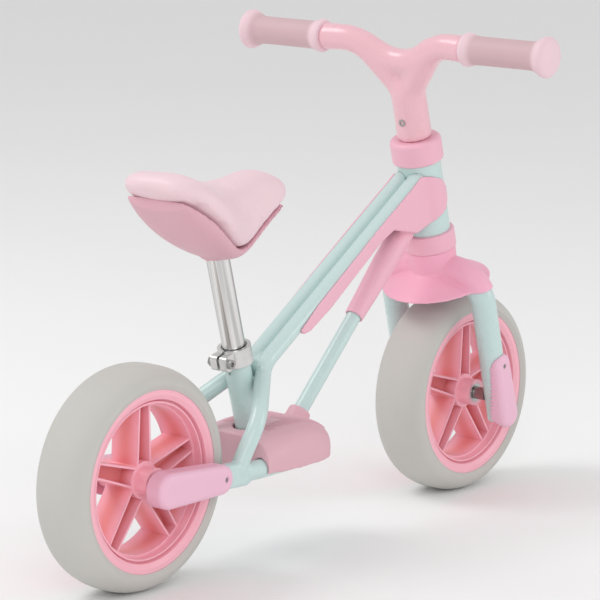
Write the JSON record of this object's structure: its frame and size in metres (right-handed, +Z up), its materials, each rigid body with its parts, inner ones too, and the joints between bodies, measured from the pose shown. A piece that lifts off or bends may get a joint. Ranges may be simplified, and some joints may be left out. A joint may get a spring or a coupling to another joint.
{
  "type": "balance bike",
  "caption": "Child's balance bike: twin-tube frame with a footrest, steered fork and bar, foam-tyred spoked wheels and a saddle on a post that slides.",
  "frame": {"origin": "on the ground under the bike's middle, midway between the axles, on the centre plane", "axes": "+X forward, +Y to the rider's left along the handlebar, +Z up"},
  "size_m": [0.813, 0.43, 0.5642],
  "materials": {
    "tyre": "matt foam, warm light grey",
    "rim": "satin moulded, salmon pink",
    "frame_paint": "satin paint, pale mint",
    "shell_pink": "satin moulded, dusty pink",
    "footrest_pink": "satin moulded, dusty pink",
    "cover_lilac": "satin moulded, lilac pink",
    "crown_pink": "satin moulded, cool pink",
    "bar_pink": "satin paint, pale pink",
    "grip": "soft matt rubber, dusty pink",
    "saddle_skin": "smooth matt synthetic skin, pale pink",
    "saddle_shell": "matt moulded, dusty pink",
    "post_steel": "polished steel tube",
    "clamp_alloy": "matt cast alloy",
    "hardware": "zinc-plated steel",
    "bush": "dark nylon",
    "bearing": "steel with dark shields"
  },
  "bodies": {
    "frame": {"head_tube": "frame_paint", "upper_headset_cover": "shell_pink", "lower_headset_cover": "shell_pink", "upper_headset_bush": "bush", "lower_headset_bush": "bush", "main_tube_left": "frame_paint", "main_tube_right": "frame_paint", "down_tube": "frame_paint", "down_tube_sleeve": "shell_pink", "seat_tube": "frame_paint", "seat_tube_gusset": "frame_paint", "chainstay_left": "frame_paint", "chainstay_right": "frame_paint", "bottom_bow": "frame_paint", "bottom_plate": "frame_paint", "footrest": "footrest_pink", "footrest_screws": "hardware", "frame_shell_left": "shell_pink", "frame_shell_right": "shell_pink", "seat_clamp": "clamp_alloy", "seat_clamp_bolt": "hardware", "seat_clamp_nut": "hardware", "rear_axle": "hardware", "rear_axle_nuts": "hardware", "rear_axle_spacers": "hardware", "rear_end_cover_left": "cover_lilac", "rear_end_cover_right": "cover_lilac", "rear_cover_screws": "hardware"},
    "steering": {"fork_steerer": "hardware", "fork_crown": "frame_paint", "fork_leg_left": "frame_paint", "fork_leg_right": "frame_paint", "fork_crown_cover": "crown_pink", "fork_end_cover_left": "cover_lilac", "fork_end_cover_right": "cover_lilac", "fork_cover_screws": "hardware", "front_axle": "hardware", "front_axle_nuts": "hardware", "front_axle_spacers": "hardware", "handlebar": "bar_pink", "stem_bolt": "hardware", "grip_left": "grip", "grip_right": "grip"},
    "front_wheel": {"front_rim": "rim", "front_tyre": "tyre", "front_wheel_bearings": "bearing"},
    "rear_wheel": {"rear_rim": "rim", "rear_tyre": "tyre", "rear_wheel_bearings": "bearing"},
    "seat": {"seatpost": "post_steel", "saddle_base": "saddle_shell", "saddle_pad": "saddle_skin"}
  },
  "joints": [
    {"name": "steering_turn", "type": "hinge", "parent": "frame", "child": "steering", "pos_m": [0.2865, 0, 0.12], "axis": [-0.2714, 0, 0.9625], "range_deg": [-60, 60]},
    {"name": "front_wheel_spin", "type": "hinge", "parent": "steering", "child": "front_wheel", "pos_m": [0.2865, 0, 0.12], "axis": [0, 1, 0], "continuous": true},
    {"name": "rear_wheel_spin", "type": "hinge", "parent": "frame", "child": "rear_wheel", "pos_m": [-0.2865, 0, 0.12], "axis": [0, 1, 0], "continuous": true},
    {"name": "seat_height", "type": "slide", "parent": "frame", "child": "seat", "axis": [-0.2756, 0, 0.9613], "range_m": [-0.05, 0.02]}
  ]
}
